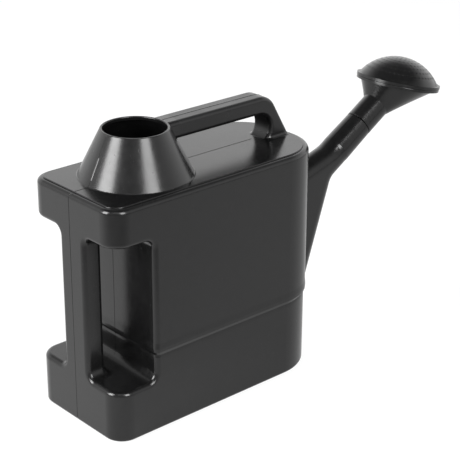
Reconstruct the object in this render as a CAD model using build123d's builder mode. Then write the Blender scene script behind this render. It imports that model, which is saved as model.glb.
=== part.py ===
"""Blow-moulded watering can with a filler cone, a top handle, a rear grip and a push-fit rose.

Frame: millimetres, +Z up, +X towards the spout. The origin is the centre of the base, on the
surface that the can stands on. The can is symmetric about the plane y = 0. Distances called
"from the rear face" are measured along X from the tank's rear face.

The can itself is one hollow moulding. It is drawn whole, outside less inside, and then parted
by planes into named regions that meet face to face. The rose is two mouldings and a seal.
"""
import math
import os

from build123d import *

# ---- driving dimensions ----------------------------------------------------------------
WALL = 2.2                   # wall of the blow moulding

LENGTH = 309.0               # tank, rear face to front face
WIDTH = 145.6                # tank, side to side
REAR_CORNER = 22.0           # plan radius of the two rear corners
FRONT_CORNER = 60.0          # plan radius of the two front corners
FOOT_BACK = 1.2              # the tank's foot, under the step, is shorter than the tank
FOOT_CORNER = 62.0           # plan radius of the foot's front corners
BASE_EDGE = 3.5
SHOULDER_Z = 268.6           # ledge round the top panel
SHOULDER_EDGE = 5.4
PANEL_Z = 270.0              # top panel
PANEL_INSET = 6.2
PANEL_EDGE = 0.9

# the step round the tank, from the foot's wall up: height, and inset from the wall
FOOT_STEP = ((85.0, 0.0), (87.5, 0.1), (90.4, 0.6))
BODY_STEP = ((93.8, -0.45), (97.6, -0.6), (104.0, 0.0))

GRIP_FLOOR = 59.8            # opening in the tank's back that the rear grip stands in
GRIP_TOP = 225.4
GRIP_DEPTH = 53.5
OPENING_EDGE = 5.5           # rounding of the opening's rim
OPENING_CORNER = 11.0
POST_WIDTH = 42.0            # the rear grip
POST_DEPTH = 23.6
POST_CORNER = 5.0
POST_ROOT = 10.0

CONE_X = 87.2                # filler cone's axis, from the rear face
CONE_FOOT_R = 62.8
CONE_FOOT_EDGE = 1.8
MOUTH_Z = 322.0
MOUTH_OUTER_R = 36.9
MOUTH_R = 34.5               # clear bore of the filler mouth
MOUTH_LAND = 4.0
LIP_EDGE = 1.1

HANDLE_WIDTH = 30.0
HANDLE_TOP = 321.8
HANDLE_UNDER = 301.3
HANDLE_FRONT = 299.6         # foot of the sloping front leg, from the rear face
HANDLE_SLOPE = 60.0          # degrees, front leg above the top panel
HANDLE_BEND = 24.0           # outer radius where the bar turns down
HANDLE_HOLE_FRONT = 270.2    # front of the hand hole, from the rear face
HANDLE_EDGE = 5.0
HANDLE_FOOT_EDGE = 4.0

SPOUT_ANGLE = 31.9           # degrees, tube above the horizontal
SPOUT_END = (430.6, 247.7)   # centre of the tube's end, from the rear face and the base
SPOUT_END_R = 17.1
SPOUT_ROOT_R = 18.0
SPOUT_TUBE = 44.0            # round part of the tube, beyond its web
RUN_IN = 20.0                # the tube's sides sink back into the web over this length
RUN_IN_SINK = 1.8
WEB_HALF = 17.2              # half of the web's thickness
WEB_EDGE = 17.6              # from the tube's axis to the web's edges
WEB_FLAT = 0.6               # half of the flat left between the web's rounded edges
WEB_END = 46.0               # from the tube's end back to the web's end
WEB_BEND = 56.7              # from the tube's end back to the bend in the web's upper edge
WEB_BEND_R = 40.0
WEB_ELBOW_X = 377.0          # from the rear face, where the web's outer edge meets the tube
WEB_ELBOW_R = 14.0
WEB_ANGLE = 18.4             # degrees, outer edge of the web from the vertical
WEB_BOTTOM = 4.0
WEB_TOP = 208.0              # upper edge of the web at WEB_ROOT_X
WEB_ROOT_X = 290.0           # from the rear face, inside the tank
SOCKET_R = 13.0              # socket in the tube's end, for the rose's spigot
SOCKET_DEPTH = 32.0

SPIGOT_LENGTH = 26.0
SPIGOT_IN_R = 10.2
RUNNING = 0.05               # radial clearance of a running fit
SEAM = 0.7                   # gap between the tube's end and the rose's neck
SEAM_CHAMFER = 0.7
SEAL_DEEP = 2.0              # seal ring's section
SEAL_WIDE = 3.4
SEAL_BACK = 14.0             # from the tube's end to the middle of the seal

NECK_R = 17.2
NECK_IN_R = 15.4
NECK_LENGTH = 34.6
ROSE_CENTRE = (501.0, 291.7) # centre of the rose's rim, from the rear face and the base
ROSE_TILT = 13.5             # degrees, rose's axis forward of the vertical
ROSE_WALL = 1.8
ROSE_RIM_R = 51.9
SHELL_R = 46.5               # shell under its rim
RIM_THICK = 3.5              # each of the two rims, the face's and the shell's
DOME_R = 48.8
DOME_HEIGHT = 26.8
HOLE_R = 0.95
HOLE_PITCH = 5.2             # between the rings of holes
HOLE_RINGS = 8

os.makedirs("parts", exist_ok=True)

# ---- derived places --------------------------------------------------------------------
REAR = -LENGTH / 2
HALF_W = WIDTH / 2
SPOUT_RISE = math.radians(SPOUT_ANGLE)
ALONG = (math.cos(SPOUT_RISE), math.sin(SPOUT_RISE))      # up the spout, in side view
ACROSS = (-math.sin(SPOUT_RISE), math.cos(SPOUT_RISE))    # its upward normal
LEAN = math.radians(ROSE_TILT)
SPIGOT_R = SOCKET_R - RUNNING
TANK_INSET = WALL + 0.4      # the tank's flat walls are a little thicker

# where the moulding is parted, x from the rear face
CONE_CUT_Z = 276.0
HANDLE_CUT_X = 136.0
SPOUT_CUT_X = 313.0
POST_CUT_Z = (72.0, 213.0)


def at(x, z):
    """Point of a side view, with x given from the rear face."""
    return (REAR + x, z)


def spout_point(back, up=0.0):
    """Point of the side view, measured back from the tube's end and up from its axis."""
    x = SPOUT_END[0] - back * ALONG[0] + up * ACROSS[0]
    z = SPOUT_END[1] - back * ALONG[1] + up * ACROSS[1]
    return at(x, z)


spout_end = (REAR + SPOUT_END[0], 0, SPOUT_END[1])
spout_axis = Axis(spout_end, (ALONG[0], 0, ALONG[1]))
spout_section = Plane(spout_end, x_dir=(ALONG[0], 0, ALONG[1]), z_dir=(0, -1, 0))


def rose_plane(rise):
    """Plane square to the rose's axis, at a height above the rim's upper face."""
    x, z = at(ROSE_CENTRE[0] + rise * math.sin(LEAN), ROSE_CENTRE[1] + rise * math.cos(LEAN))
    return Plane((x, 0, z), x_dir=(0, 1, 0), z_dir=(math.sin(LEAN), 0, math.cos(LEAN)))


rose_centre = (REAR + ROSE_CENTRE[0], 0, ROSE_CENTRE[1])
rose_axis = Axis(rose_centre, (math.sin(LEAN), 0, math.cos(LEAN)))
rose_section = Plane(rose_centre, x_dir=(math.cos(LEAN), 0, -math.sin(LEAN)), z_dir=(0, -1, 0))


def outline(inset, foot=False):
    """Plan of the tank or of its foot: small rear corners and large front corners."""
    back, corner = (FOOT_BACK, FOOT_CORNER) if foot else (0, FRONT_CORNER)
    with BuildSketch(mode=Mode.PRIVATE) as plan:
        with Locations((-back / 2, 0)):
            Rectangle(LENGTH - back - 2 * inset, WIDTH - 2 * inset)
        fillet(plan.vertices().group_by(Axis.X)[0], REAR_CORNER - inset)
        fillet(plan.vertices().group_by(Axis.X)[-1], corner - inset)
    return plan.sketch


def band(inset, foot):
    """Plan of the tank in front of the grip opening, with rounded rear corners."""
    with BuildSketch(mode=Mode.PRIVATE) as plan:
        add(outline(inset, foot))
        with Locations((REAR + GRIP_DEPTH + inset - LENGTH / 2, 0)):
            Rectangle(LENGTH, 2 * WIDTH, mode=Mode.SUBTRACT)
        fillet(plan.vertices().group_by(Axis.X)[0], OPENING_EDGE)
    return plan.sketch


# ---- the opening round the rear grip ----------------------------------------------------
with BuildPart() as grip_opening:
    with BuildSketch(Plane.XZ):
        with Locations(at(GRIP_DEPTH / 2 - 5, (GRIP_FLOOR + GRIP_TOP) / 2)):
            Rectangle(GRIP_DEPTH + 10, GRIP_TOP - GRIP_FLOOR)
    extrude(amount=HALF_W + 5, both=True)
    fillet(grip_opening.edges().filter_by(Axis.Y).group_by(Axis.X)[-1], OPENING_CORNER)
    with BuildSketch(Plane.XY.offset(GRIP_FLOOR - 5)) as post_plan:
        with Locations((REAR + POST_DEPTH / 2 - 10, 0)):
            Rectangle(POST_DEPTH + 20, POST_WIDTH)
        fillet(post_plan.vertices().group_by(Axis.X)[-1], POST_CORNER)
    extrude(amount=GRIP_TOP - GRIP_FLOOR + 10, mode=Mode.SUBTRACT)
    for level in (GRIP_FLOOR, GRIP_TOP):
        roots = grip_opening.edges().filter_by_position(Axis.Z, level - 0.1, level + 0.1)
        roots = roots.filter_by_position(Axis.Y, -POST_WIDTH / 2, POST_WIDTH / 2)
        fillet(roots.filter_by_position(Axis.X, REAR - 5, REAR + POST_DEPTH, (False, True)),
               POST_ROOT)

# ---- the step: a crease over the foot and a low bead over the crease --------------------
STEP_LOW = FOOT_STEP[0][0]
STEP_HIGH = BODY_STEP[-1][0]
levels = [(z, inset, True) for z, inset in FOOT_STEP] + [(z, inset, False) for z, inset in BODY_STEP]
with BuildPart() as step:
    for below, above in zip(levels, levels[1:]):
        for z, inset, foot in (below, above):
            with BuildSketch(Plane.XY.offset(z)):
                add(band(inset, foot))
        loft(ruled=True)
    with BuildSketch(Plane.XY.offset(STEP_LOW)) as post_middle:
        with Locations((REAR, 0)):
            Rectangle(POST_DEPTH, POST_WIDTH, align=(Align.MIN, Align.CENTER))
        fillet(post_middle.vertices().group_by(Axis.X)[0], OPENING_EDGE)
        fillet(post_middle.vertices().group_by(Axis.X)[-1], POST_CORNER)
    extrude(amount=STEP_HIGH - STEP_LOW)


# ---- filler cone, handle and spout: the same function draws the outside and the inside --
cone_plane = Plane((REAR + CONE_X, 0, 0), x_dir=(1, 0, 0), z_dir=(0, -1, 0))
cone_axis = Axis((REAR + CONE_X, 0, 0), (0, 0, 1))


def cone_solid(inset, top):
    """Filler cone, sunk a little into the top panel."""
    slope = (CONE_FOOT_R - MOUTH_OUTER_R) / (MOUTH_Z - PANEL_Z)
    sunk = 3 + inset
    foot_r = CONE_FOOT_R + sunk * slope - inset * math.hypot(1, slope)
    top_r = MOUTH_OUTER_R + (MOUTH_Z - top) * slope - inset * math.hypot(1, slope)
    with BuildPart() as cone:
        with BuildSketch(cone_plane):
            with BuildLine():
                Polyline((0, PANEL_Z - sunk), (foot_r, PANEL_Z - sunk), (top_r, top), (0, top),
                         close=True)
            make_face()
        revolve(axis=cone_axis)
    return cone.part


def handle_solid(inset, edge, back):
    """The bar and its front leg, drawn in side view from x = back, with the hand hole."""
    lean = 1 / math.tan(math.radians(HANDLE_SLOPE))
    front = HANDLE_FRONT - inset / math.sin(math.radians(HANDLE_SLOPE))
    top = HANDLE_TOP - inset
    sunk = PANEL_Z - 4 - inset
    hole_r = (HANDLE_UNDER - PANEL_Z + 4) / 2 + inset
    hole_z = HANDLE_UNDER - hole_r + inset
    hole_x = HANDLE_HOLE_FRONT + inset - hole_r
    with BuildPart() as bar:
        with BuildSketch(Plane.XZ):
            with BuildLine():
                FilletPolyline(
                    at(back, sunk), at(front + lean * (PANEL_Z - sunk), sunk),
                    at(front - lean * (top - PANEL_Z), top), at(back, top),
                    radius=(0, 0, HANDLE_BEND - inset, 0), close=True)
            make_face()
            with Locations(at(hole_x, hole_z)):
                Circle(hole_r, mode=Mode.SUBTRACT)
                Rectangle(2 * hole_x, 2 * hole_r, align=(Align.MAX, Align.CENTER),
                          mode=Mode.SUBTRACT)
        extrude(amount=HANDLE_WIDTH / 2 - inset, both=True)
        rims = bar.faces().filter_by(Axis.Y).edges()
        rims = rims.filter_by_position(Axis.Z, sunk + 0.1, top)
        fillet(rims.filter_by_position(Axis.X, REAR + back + 1, -REAR), edge)
    return bar.part


def web_solid(inset):
    """The flat-sided web under the spout's tube, with fully rounded edges."""
    half = WEB_HALF - inset
    elbow_back = (SPOUT_END[0] - WEB_ELBOW_X + WEB_EDGE * math.sin(SPOUT_RISE)) / ALONG[0]
    elbow = spout_point(elbow_back, -WEB_EDGE)
    foot_x = elbow[0] - math.tan(math.radians(WEB_ANGLE)) * (elbow[1] - WEB_BOTTOM)
    with BuildPart() as web:
        with BuildSketch(Plane.XZ):
            with BuildLine():
                FilletPolyline(
                    at(WEB_ROOT_X, WEB_BOTTOM), (foot_x, WEB_BOTTOM), elbow,
                    spout_point(WEB_END, -WEB_EDGE), spout_point(WEB_END, WEB_EDGE),
                    spout_point(WEB_BEND, WEB_EDGE), at(WEB_ROOT_X, WEB_TOP),
                    radius=(0, 0, WEB_ELBOW_R, 0, 0, WEB_BEND_R, 0), close=True)
            make_face()
            if inset:
                offset(amount=-inset, kind=Kind.INTERSECTION)
        extrude(amount=half, both=True)
        edges = web.faces().filter_by(Axis.Y).edges()
        edges = edges.filter_by_position(Axis.X, REAR + WEB_ROOT_X + 10, 2 * LENGTH)
        end = web.faces().sort_by(spout_axis)[-1].edges()
        bottom = web.faces().sort_by(Axis.Z)[0].edges()
        rims = [edge for edge in edges if edge not in end and edge not in bottom]
        fillet(rims, half - WEB_FLAT)
    return web.part


with BuildPart() as tube:
    with BuildSketch(spout_section):
        with BuildLine():
            run_in = -SPOUT_TUBE - RUN_IN
            Polyline((run_in, 0), (run_in, SPOUT_ROOT_R - RUN_IN_SINK),
                     (-SPOUT_TUBE, SPOUT_ROOT_R), (-SEAM_CHAMFER, SPOUT_END_R),
                     (0, SPOUT_END_R - SEAM_CHAMFER), (0, 0), close=True)
        make_face()
    revolve(axis=spout_axis)

with BuildPart() as tube_inside:
    with BuildSketch(spout_section):
        with BuildLine():
            run_in = -SPOUT_TUBE - 3 * WALL
            Polyline((run_in - RUN_IN, 0), (run_in - RUN_IN, SPOUT_ROOT_R - RUN_IN_SINK - WALL),
                     (run_in, SPOUT_ROOT_R - WALL),
                     (-SOCKET_DEPTH - 3, SPOUT_END_R - WALL), (-SOCKET_DEPTH, SOCKET_R),
                     (5, SOCKET_R), (5, 0), close=True)
        make_face()
    revolve(axis=spout_axis)

# ---- the moulding, outside less inside -------------------------------------------------
with BuildPart() as foot_block:
    with BuildSketch(Plane.XY):
        add(outline(0, foot=True))
    extrude(amount=STEP_LOW)
    fillet(foot_block.faces().sort_by(Axis.Z)[0].edges(), BASE_EDGE)
    add(grip_opening.part, mode=Mode.SUBTRACT)
    rims = foot_block.edges(Select.NEW)
    fillet(rims - rims.filter_by_position(Axis.Z, STEP_LOW, STEP_LOW), OPENING_EDGE)

with BuildPart() as outside:
    with BuildSketch(Plane.XY.offset(STEP_HIGH)):
        add(outline(0))
    extrude(amount=SHOULDER_Z - STEP_HIGH)
    add(grip_opening.part, mode=Mode.SUBTRACT)
    rims = outside.edges(Select.NEW)
    fillet(rims - rims.filter_by_position(Axis.Z, STEP_HIGH, STEP_HIGH), OPENING_EDGE)
    fillet(outside.faces().sort_by(Axis.Z)[-1].edges(), SHOULDER_EDGE)
    with BuildSketch(Plane.XY.offset(SHOULDER_Z - 1)):
        add(outline(PANEL_INSET))
    extrude(amount=PANEL_Z - SHOULDER_Z + 1)
    fillet(outside.faces().sort_by(Axis.Z)[-1].edges(), PANEL_EDGE)
    add(step.part)
    add(foot_block.part)
    add(cone_solid(0, MOUTH_Z))
    fillet(outside.edges(Select.NEW), CONE_FOOT_EDGE)
    add(handle_solid(0, HANDLE_EDGE, CONE_X + MOUTH_OUTER_R - HANDLE_EDGE))
    foot = outside.edges(Select.NEW)
    fillet(foot.filter_by_position(Axis.Z, PANEL_Z - 0.1, PANEL_Z + 0.1), HANDLE_FOOT_EDGE)
    add(web_solid(0))
    add(tube.part)

with BuildPart() as inside:
    with BuildSketch(Plane.XY.offset(WALL)):
        add(outline(TANK_INSET, foot=True))
    extrude(amount=BODY_STEP[0][0] - WALL)
    with BuildSketch(Plane.XY.offset(BODY_STEP[0][0])):
        add(outline(TANK_INSET))
    extrude(amount=SHOULDER_Z - WALL - BODY_STEP[0][0])
    with BuildSketch(Plane.XY.offset(SHOULDER_Z - WALL - 1)):
        add(outline(PANEL_INSET + WALL))
    extrude(amount=PANEL_Z - SHOULDER_Z + 1)
    with BuildSketch(Plane.XZ):
        with Locations(at(GRIP_DEPTH / 2 + WALL / 2 - 5, (GRIP_FLOOR + GRIP_TOP) / 2)):
            Rectangle(GRIP_DEPTH + WALL + 10, GRIP_TOP - GRIP_FLOOR + 2 * WALL)
    extrude(amount=WIDTH, both=True, mode=Mode.SUBTRACT)
    with BuildSketch(Plane.XY.offset(GRIP_FLOOR - WALL - 1)):
        with Locations((REAR + TANK_INSET, 0)):
            RectangleRounded(POST_DEPTH - TANK_INSET - WALL, POST_WIDTH - 2 * WALL, 3,
                             align=(Align.MIN, Align.CENTER))
    extrude(amount=GRIP_TOP - GRIP_FLOOR + 2 * WALL + 2)
    add(cone_solid(WALL, MOUTH_Z - MOUTH_LAND))
    with BuildSketch(Plane.XY.offset(MOUTH_Z - MOUTH_LAND - 1)):
        with Locations((REAR + CONE_X, 0)):
            Circle(MOUTH_R)
    extrude(amount=MOUTH_LAND + 5)
    add(handle_solid(WALL, HANDLE_EDGE - WALL, HANDLE_CUT_X + WALL))
    add(web_solid(WALL))
    add(tube_inside.part)

with BuildPart() as moulding:
    add(outside.part)
    add(inside.part, mode=Mode.SUBTRACT)
    lip = moulding.edges().filter_by(GeomType.CIRCLE).sort_by(Axis.Z)[-2:]
    fillet(lip, LIP_EDGE)

# ---- the moulding parted into regions that meet face to face ---------------------------


def region(x0, x1, half_y, z0, z1):
    """A box that picks out one region of the moulding, x from the rear face."""
    with BuildPart() as block:
        with BuildSketch(Plane.XY.offset(z0)):
            with Locations((REAR + (x0 + x1) / 2, 0)):
                Rectangle(x1 - x0, 2 * half_y)
        extrude(amount=z1 - z0)
    return block.part


BEYOND = 2 * LENGTH
above_panel = region(-10, HANDLE_CUT_X + 20, HALF_W, CONE_CUT_Z, MOUTH_Z + 10)
handle_region = region(HANDLE_CUT_X, HANDLE_CUT_X + 20, HALF_W, HANDLE_UNDER - 3, MOUTH_Z + 10)
leg_region = region(HANDLE_CUT_X + 20, LENGTH + 2, HALF_W, CONE_CUT_Z, MOUTH_Z + 10)
spout_region = region(SPOUT_CUT_X, BEYOND, HALF_W, -1, MOUTH_Z + 10)
post_region = region(-2, POST_DEPTH + 2, POST_WIDTH / 2 + 2, POST_CUT_Z[0], POST_CUT_Z[1])

with BuildPart() as filler_cone:
    add(moulding.part)
    add(above_panel, mode=Mode.INTERSECT)
    add(handle_region, mode=Mode.SUBTRACT)

with BuildPart() as top_handle:
    add(handle_region)
    add(leg_region)
    add(moulding.part, mode=Mode.INTERSECT)

with BuildPart() as spout_tube:
    add(moulding.part)
    add(spout_region, mode=Mode.INTERSECT)

with BuildPart() as rear_grip:
    add(moulding.part)
    add(post_region, mode=Mode.INTERSECT)

with BuildPart() as tank_shell:
    add(moulding.part)
    for block in (above_panel, leg_region, spout_region, post_region):
        add(block, mode=Mode.SUBTRACT)

# ---- the rose --------------------------------------------------------------------------
with BuildPart() as rose_neck:
    with BuildSketch(spout_section):
        with BuildLine():
            Polyline(
                (-SPIGOT_LENGTH, SPIGOT_IN_R), (-SPIGOT_LENGTH, SPIGOT_R - 0.8),
                (-SPIGOT_LENGTH + 2, SPIGOT_R), (SEAM, SPIGOT_R),
                (SEAM, NECK_R - SEAM_CHAMFER), (SEAM + SEAM_CHAMFER, NECK_R),
                (NECK_LENGTH, NECK_R), (NECK_LENGTH, NECK_IN_R), (12, SPIGOT_IN_R), close=True)
        make_face()
        with Locations((-SEAL_BACK, SPIGOT_R)):
            Rectangle(SEAL_WIDE + 0.2, 2 * SEAL_DEEP, mode=Mode.SUBTRACT)
    revolve(axis=spout_axis)

with BuildPart() as rose_seal_ring:
    with BuildSketch(spout_section):
        with Locations((-SEAL_BACK, SPIGOT_R - SEAL_DEEP + RUNNING)):
            RectangleRounded(SEAL_WIDE, SEAL_DEEP - RUNNING / 2, 0.4, align=(Align.CENTER, Align.MIN))
    revolve(axis=spout_axis)

shell_foot = Plane((REAR + SPOUT_END[0] + NECK_LENGTH * ALONG[0], 0,
                    SPOUT_END[1] + NECK_LENGTH * ALONG[1]),
                   x_dir=(0, 1, 0), z_dir=(ALONG[0], 0, ALONG[1]))


def oblique_cone(foot_r, top_r, top_plane):
    """Skew cone from the neck's round end to a circle square to the rose's axis."""
    with BuildPart() as skew:
        with BuildSketch(shell_foot):
            Circle(foot_r)
        with BuildSketch(top_plane):
            Circle(top_r)
        loft(ruled=True)
    return skew.part


with BuildPart() as rose_shell:
    add(oblique_cone(NECK_R, SHELL_R, rose_plane(-2 * RIM_THICK + 0.4)))
    with BuildSketch(rose_plane(-2 * RIM_THICK)):
        Circle(ROSE_RIM_R - 0.5)
    extrude(amount=RIM_THICK - 0.1)
    fillet(rose_shell.edges().filter_by(GeomType.CIRCLE).group_by(rose_axis)[-1], 0.8)
    add(oblique_cone(NECK_IN_R, SHELL_R - ROSE_WALL, rose_plane(-2 * RIM_THICK + 0.4)),
        mode=Mode.SUBTRACT)
    with BuildSketch(rose_plane(-2 * RIM_THICK)):
        Circle(SHELL_R - ROSE_WALL)
    extrude(amount=2 * RIM_THICK, mode=Mode.SUBTRACT)

dome_r = (DOME_R ** 2 + DOME_HEIGHT ** 2) / (2 * DOME_HEIGHT)
with BuildPart() as rose_face:
    with BuildSketch(rose_section):
        with BuildLine():
            edge_in = DOME_R - ROSE_WALL
            crown_in = DOME_HEIGHT - ROSE_WALL
            Polyline((0, crown_in), (0, DOME_HEIGHT))
            RadiusArc((0, DOME_HEIGHT), (DOME_R, 0), dome_r)
            Polyline((DOME_R, 0), (ROSE_RIM_R, 0), (ROSE_RIM_R, -RIM_THICK), (edge_in, -RIM_THICK),
                     (edge_in, 0))
            RadiusArc((edge_in, 0), (0, crown_in), -(edge_in ** 2 + crown_in ** 2) / (2 * crown_in))
        make_face()
    revolve(axis=rose_axis)
    with BuildSketch(rose_plane(0)):
        Circle(HOLE_R)
        for ring in range(1, HOLE_RINGS + 1):
            with PolarLocations(ring * HOLE_PITCH, 6 * ring):
                Circle(HOLE_R)
    extrude(amount=DOME_HEIGHT + 5, mode=Mode.SUBTRACT)

# ---- write each piece ------------------------------------------------------------------
pieces = {
    "tank_shell": tank_shell, "filler_cone": filler_cone, "top_handle": top_handle,
    "rear_grip": rear_grip, "spout_tube": spout_tube, "rose_neck": rose_neck,
    "rose_shell": rose_shell, "rose_face": rose_face, "rose_seal_ring": rose_seal_ring,
}
for name, piece in pieces.items():
    piece.part.label = name
    export_step(piece.part, f"parts/{name}.step")
    print(name, len(piece.solids()), piece.part.is_valid, round(piece.part.volume / 1000, 1))
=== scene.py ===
"""Watering can: materials, parting lines, studio and camera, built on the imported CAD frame."""
import math

import bpy
from mathutils import Matrix, Vector
from mathutils.bvhtree import BVHTree


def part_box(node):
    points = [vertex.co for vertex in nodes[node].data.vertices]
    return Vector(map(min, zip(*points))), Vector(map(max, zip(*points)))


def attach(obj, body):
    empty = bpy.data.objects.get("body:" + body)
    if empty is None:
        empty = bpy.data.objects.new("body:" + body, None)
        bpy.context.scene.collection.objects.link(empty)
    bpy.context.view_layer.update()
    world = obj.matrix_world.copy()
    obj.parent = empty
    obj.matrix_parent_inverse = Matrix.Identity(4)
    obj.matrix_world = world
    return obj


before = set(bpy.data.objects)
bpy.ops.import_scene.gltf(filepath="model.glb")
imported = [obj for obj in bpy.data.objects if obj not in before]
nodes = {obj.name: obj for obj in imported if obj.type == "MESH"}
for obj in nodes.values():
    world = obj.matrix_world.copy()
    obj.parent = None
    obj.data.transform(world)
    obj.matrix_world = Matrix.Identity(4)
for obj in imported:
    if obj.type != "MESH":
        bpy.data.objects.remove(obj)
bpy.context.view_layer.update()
scene = bpy.context.scene
CAN_NODES = ("tank_shell", "filler_cone", "top_handle", "rear_grip", "spout_tube")

# ---- camera ------------------------------------------------------------------------------
CAMERA_PLACE = Vector((-0.93632, -1.12027, 0.81319))
CAMERA_YAW = 48.127          # degrees, from +X towards +Y
CAMERA_PITCH = 23.276        # degrees below the horizontal
CAMERA_ROLL = 0.345          # degrees
CAMERA_LENS = 111.27         # mm, on a sensor of CAMERA_SENSOR
CAMERA_SENSOR = 36.0
CAMERA_CLIP = 0.05

yaw, pitch, roll = (math.radians(a) for a in (CAMERA_YAW, CAMERA_PITCH, CAMERA_ROLL))
forward = Vector((math.cos(pitch) * math.cos(yaw), math.cos(pitch) * math.sin(yaw), -math.sin(pitch)))
level = Vector((math.sin(yaw), -math.cos(yaw), 0))
upward = level.cross(forward)
right = math.cos(roll) * level + math.sin(roll) * upward
upward = math.cos(roll) * upward - math.sin(roll) * level
camera_data = bpy.data.cameras.new("camera")
camera_data.lens = CAMERA_LENS
camera_data.sensor_width = CAMERA_SENSOR
camera_data.clip_start = CAMERA_CLIP
camera = bpy.data.objects.new("camera", camera_data)
camera.matrix_world = Matrix((
    (right.x, upward.x, -forward.x, CAMERA_PLACE.x),
    (right.y, upward.y, -forward.y, CAMERA_PLACE.y),
    (right.z, upward.z, -forward.z, CAMERA_PLACE.z),
    (0, 0, 0, 1)))
scene.collection.objects.link(camera)
scene.camera = camera
scene.view_settings.view_transform = "Standard"


# ---- materials ---------------------------------------------------------------------------
PLASTIC_IOR = 1.44
BLACK = (0.0042, 0.0042, 0.0043)
ROSE_BLACK = (0.0045, 0.0045, 0.0046)
RUBBER_BLACK = (0.012, 0.012, 0.012)


class Tree:
    """Short calls for building a material's or the world's nodes."""

    def __init__(self, owner):
        owner.use_nodes = True
        self.tree = owner.node_tree
        self.tree.nodes.clear()

    def node(self, kind, **values):
        made = self.tree.nodes.new(kind)
        for key, value in values.items():
            setattr(made, key, value)
        return made

    def link(self, source, target):
        self.tree.links.new(source, target)

    def noise(self, scale, detail=3.0, vector=None, roughness=0.5):
        made = self.node("ShaderNodeTexNoise")
        made.inputs["Scale"].default_value = scale
        made.inputs["Detail"].default_value = detail
        made.inputs["Roughness"].default_value = roughness
        if vector is not None:
            self.link(vector, made.inputs["Vector"])
        return made.outputs["Fac"]

    def ramp(self, source, low, high, dark, light):
        made = self.node("ShaderNodeMapRange")
        made.clamp = True
        for name, value in (("From Min", low), ("From Max", high), ("To Min", dark), ("To Max", light)):
            made.inputs[name].default_value = value
        self.link(source, made.inputs["Value"])
        return made.outputs["Result"]

    def maths(self, what, first, second):
        made = self.node("ShaderNodeMath", operation=what)
        for slot, value in ((0, first), (1, second)):
            if isinstance(value, (int, float)):
                made.inputs[slot].default_value = value
            else:
                self.link(value, made.inputs[slot])
        return made.outputs["Value"]


def moulded_plastic(name, tint, rough, grain, grain_depth, marks, turned=0.0):
    """Satin black polymer: fine moulding grain, cloudy gloss, faint scuffs and pale specks.

    turned is the depth of the faint level streaks that a turned mould leaves round a cone.
    """
    material = bpy.data.materials.new(name)
    t = Tree(material)
    place = t.node("ShaderNodeTexCoord").outputs["Object"]
    stretched = t.node("ShaderNodeMapping")
    stretched.inputs["Scale"].default_value = (1.0, 1.0, 0.12)
    stretched.inputs["Rotation"].default_value = (0.2, 0.35, 0.0)
    t.link(place, stretched.inputs["Vector"])

    cloudy = t.noise(14.0, 3.0, place)
    mottle = t.noise(160.0, 4.0, place)
    fine = t.noise(grain, 2.0, place, 0.6)
    scuffs = t.noise(420.0, 2.0, stretched.outputs["Vector"])
    specks = t.node("ShaderNodeTexVoronoi")
    specks.inputs["Scale"].default_value = 150.0
    t.link(place, specks.inputs["Vector"])
    speck = t.ramp(specks.outputs["Distance"], 0.045, 0.09, 1.0, 0.0)
    speck = t.maths("MULTIPLY", speck, t.ramp(cloudy, 0.52, 0.62, 0.0, 1.0))
    scuff = t.ramp(scuffs, 0.66, 0.78, 0.0, 1.0)

    shade = t.maths("ADD", t.ramp(mottle, 0.3, 0.7, 0.85, 1.15), t.maths("MULTIPLY", speck, marks))
    shade = t.maths("ADD", shade, t.maths("MULTIPLY", scuff, 0.35 * marks))
    colour = t.node("ShaderNodeVectorMath", operation="SCALE")
    colour.inputs[0].default_value = tint
    t.link(shade, colour.inputs["Scale"])

    gloss = t.maths("ADD", t.ramp(cloudy, 0.3, 0.7, rough - 0.035, rough + 0.035),
                    t.ramp(mottle, 0.3, 0.7, -0.02, 0.02))
    gloss = t.maths("ADD", gloss, t.maths("MULTIPLY", scuff, 0.06 * marks))

    levels = t.node("ShaderNodeMapping")
    levels.inputs["Scale"].default_value = (0.02, 0.02, 1.0)
    t.link(place, levels.inputs["Vector"])
    streaks = t.noise(620.0, 3.0, levels.outputs["Vector"], 0.7)
    height = t.maths("ADD", fine, t.maths("MULTIPLY", mottle, 0.25))
    height = t.maths("ADD", height, t.maths("MULTIPLY", streaks, turned))
    bump = t.node("ShaderNodeBump")
    bump.inputs["Strength"].default_value = 1.0
    bump.inputs["Distance"].default_value = grain_depth
    t.link(height, bump.inputs["Height"])

    surface = t.node("ShaderNodeBsdfPrincipled")
    surface.inputs["IOR"].default_value = PLASTIC_IOR
    t.link(colour.outputs["Vector"], surface.inputs["Base Color"])
    t.link(gloss, surface.inputs["Roughness"])
    t.link(bump.outputs["Normal"], surface.inputs["Normal"])
    out = t.node("ShaderNodeOutputMaterial")
    t.link(surface.outputs["BSDF"], out.inputs["Surface"])
    return material


# name, tint, roughness, grain scale, grain depth in metres, strength of marks, turning streaks
can_plastic = moulded_plastic("can_plastic", BLACK, 0.21, 2400.0, 0.000006, 1.0)
cone_plastic = moulded_plastic("cone_plastic", BLACK, 0.22, 2400.0, 0.000006, 1.0, 6.0)
handle_plastic = moulded_plastic("handle_plastic", BLACK, 0.31, 2000.0, 0.000008, 0.6)
rose_plastic = moulded_plastic("rose_plastic", ROSE_BLACK, 0.22, 2800.0, 0.000005, 0.5)
seal_rubber = moulded_plastic("seal_rubber", RUBBER_BLACK, 0.62, 2600.0, 0.00002, 0.4)
SPECIAL = {"filler_cone": cone_plastic, "top_handle": handle_plastic, "rose_seal_ring": seal_rubber}
for name, mesh_object in nodes.items():
    finish = SPECIAL.get(name, can_plastic if name in CAN_NODES else rose_plastic)
    mesh_object.data.materials.clear()
    mesh_object.data.materials.append(finish)

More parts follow.
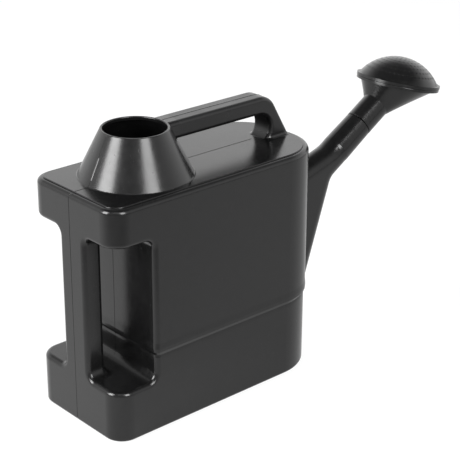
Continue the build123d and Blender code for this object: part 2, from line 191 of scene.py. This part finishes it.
# ---- parting lines: fine ridges where the halves of the mould met, at or close to y = 0 ------
RIDGE_HALF = 0.00045         # half of a ridge's width at its foot
RIDGE_HIGH = 0.0003
RIDGE_SUNK = 0.00012         # its foot lies this deep in the skin
RIDGE_CROWN = 0.35           # its flat top, as a share of its foot's width
RIDGE_STEP = 0.0015          # between the rays that find the skin
RIDGE_JUMP = 6               # a ridge breaks where the skin jumps by more than this many steps
corners, triangles = [], []
for name in CAN_NODES:
    mesh = nodes[name].data
    first = len(corners)
    corners.extend(v.co.copy() for v in mesh.vertices)
    triangles.extend([first + i for i in p.vertices] for p in mesh.polygons)
skin = BVHTree.FromPolygons(corners, triangles)


def ridge(name, starts, along, beside=0.0, wide=1.0):
    """A ridge where parallel rays, cast in the plane y = beside from a line of starts, meet the can."""
    start, end = (Vector((p[0], beside, p[1])) for p in starts)
    along = Vector((along[0], 0.0, along[1])).normalized()
    count = max(2, round((end - start).length / RIDGE_STEP))
    rails, last = [], None
    vertices, faces = [], []
    for i in range(count + 1):
        hit, normal, _, _ = skin.ray_cast(start.lerp(end, i / count), along)
        if hit is None or (last is not None and (hit - last).length > RIDGE_JUMP * RIDGE_STEP):
            last = hit
            rails.append(None)
            continue
        last = hit
        if normal.dot(along) > 0:
            normal = -normal
        normal.y = 0
        normal.normalize()
        rails.append((hit, normal))
    previous = None
    for rail in rails:
        if rail is None:
            previous = None
            continue
        hit, normal = rail
        base = len(vertices)
        low, high = hit - RIDGE_SUNK * normal, hit + RIDGE_HIGH * normal
        for point, side in ((low, -1.0), (high, -RIDGE_CROWN), (high, RIDGE_CROWN), (low, 1.0)):
            vertices.append((point.x, beside + side * wide * RIDGE_HALF, point.z))
        if previous is not None:
            for k in range(3):
                faces.append((previous + k, previous + k + 1, base + k + 1, base + k))
        previous = base
    made = bpy.data.meshes.new(name)
    made.from_pydata(vertices, [], faces)
    made.update()
    made.materials.append(can_plastic)
    piece = bpy.data.objects.new(name, made)
    scene.collection.objects.link(piece)
    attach(piece, "can")


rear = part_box("tank_shell")[0].x + 0.0001
cone_low, cone_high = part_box("filler_cone")
mouth = (cone_low.x + cone_high.x) / 2
OUTSIDE = rear - 0.05        # rays start here for the rear face
ABOVE = 0.4                  # and here for what is seen from above
REAR_BESIDE = 0.002          # the rear parting runs this far to the left of the middle
FORWARDS, BACKWARDS, DOWN = (1, 0), (-1, 0), (0, -1)
ridge("parting_rear_foot", ((OUTSIDE, 0.004), (OUTSIDE, 0.055)), FORWARDS, beside=REAR_BESIDE)
ridge("parting_rear_top", ((OUTSIDE, 0.055), (OUTSIDE, 0.2685)), FORWARDS, beside=REAR_BESIDE)
ridge("parting_cone_rear", ((rear + 0.003, ABOVE), (mouth - 0.036, ABOVE)), DOWN)
ridge("parting_cone_flash", ((mouth - 0.0595, ABOVE), (mouth - 0.0485, ABOVE)), DOWN, wide=3.3)
ridge("parting_handle", ((mouth + 0.0375, ABOVE), (0.135, ABOVE)), DOWN)
ridge("parting_handle_leg", ((0.25, 0.318), (0.25, 0.2705)), BACKWARDS)
ridge("parting_panel", ((mouth + 0.047, 0.29), (0.1, 0.29)), DOWN)
ridge("parting_grip_wall", ((-0.118, 0.0645), (-0.118, 0.222)), FORWARDS)

# ---- studio ------------------------------------------------------------------------------
REACH, FLOOR_Z = 14.0, -0.0004
FLOOR_GLOW, FLOOR_ALBEDO = 0.80, 0.22
AIM = Vector((-0.04, 0.0, 0.26))     # where the lights point
floor_mesh = bpy.data.meshes.new("floor")
floor_mesh.from_pydata([(-REACH, -REACH, FLOOR_Z), (REACH, -REACH, FLOOR_Z),
                        (REACH, REACH, FLOOR_Z), (-REACH, REACH, FLOOR_Z)], [], [(0, 1, 2, 3)])
floor = bpy.data.objects.new("floor", floor_mesh)
scene.collection.objects.link(floor)
paper = bpy.data.materials.new("floor_paper")
t = Tree(paper)
# evenly bright to the camera; what the can reflects of it fades away from the can
place = t.node("ShaderNodeSeparateXYZ")
t.link(t.node("ShaderNodeTexCoord").outputs["Object"], place.inputs["Vector"])
forth = t.maths("ADD", t.maths("MULTIPLY", place.outputs["X"], -0.64),
                t.maths("MULTIPLY", place.outputs["Y"], -0.77))
seen = t.node("ShaderNodeLightPath").outputs["Is Camera Ray"]
beside = t.maths("ADD", t.maths("MULTIPLY", place.outputs["X"], 0.61),
                 t.maths("MULTIPLY", place.outputs["Y"], -0.68))
glow = t.maths("MULTIPLY", t.ramp(forth, 0.28, 0.60, 1.0, 0.22), t.ramp(beside, -0.12, 0.2, 1.0, 0.62))
glow = t.maths("MAXIMUM", seen, glow)
white = t.node("ShaderNodeBsdfPrincipled")
white.inputs["Base Color"].default_value = (FLOOR_ALBEDO, FLOOR_ALBEDO, FLOOR_ALBEDO, 1)
white.inputs["Roughness"].default_value = 0.9
white.inputs["Specular IOR Level"].default_value = 0.1
white.inputs["Emission Color"].default_value = (1, 1, 1, 1)
t.link(t.maths("MULTIPLY", glow, FLOOR_GLOW), white.inputs["Emission Strength"])
out = t.node("ShaderNodeOutputMaterial")
t.link(white.outputs["BSDF"], out.inputs["Surface"])
floor_mesh.materials.append(paper)

world = bpy.data.worlds.new("studio")
scene.world = world
t = Tree(world)
direction = t.node("ShaderNodeSeparateXYZ")
t.link(t.node("ShaderNodeTexCoord").outputs["Generated"], direction.inputs["Vector"])
ceiling = t.ramp(direction.outputs["Z"], 0.46, 0.80, 1.0, 0.11)
towards = t.maths("ADD", t.maths("MULTIPLY", direction.outputs["X"], 0.72),
                  t.maths("MULTIPLY", direction.outputs["Y"], 0.69))
walls = t.ramp(towards, -0.6, 0.35, 0.55, 1.5)
sky = t.node("ShaderNodeBackground")
sky.inputs["Color"].default_value = (1, 1, 1, 1)
t.link(t.maths("MULTIPLY", ceiling, walls), sky.inputs["Strength"])
out = t.node("ShaderNodeOutputWorld")
t.link(sky.outputs["Background"], out.inputs["Surface"])


def softbox(name, azimuth, elevation, distance, width, height, radiance):
    """A soft rectangular light that faces the can."""
    lamp = bpy.data.lights.new(name, "AREA")
    lamp.shape = "RECTANGLE"
    lamp.size = width
    lamp.size_y = height
    lamp.energy = math.pi * radiance * width * height
    az, el = math.radians(azimuth), math.radians(elevation)
    aim = Vector((math.cos(el) * math.cos(az), math.cos(el) * math.sin(az), math.sin(el)))
    holder = bpy.data.objects.new(name, lamp)
    holder.matrix_world = Matrix.Translation(AIM + aim * distance) @ \
        aim.to_track_quat("Z", "Y").to_matrix().to_4x4()
    scene.collection.objects.link(holder)


softbox("light_left", 168.0, 27.0, 2.4, 1.15, 1.5, 17.0)
softbox("light_right", -95.0, 30.0, 2.4, 1.0, 1.5, 12.5)
softbox("light_over_camera", -132.0, 49.0, 2.4, 1.3, 0.5, 3.0)
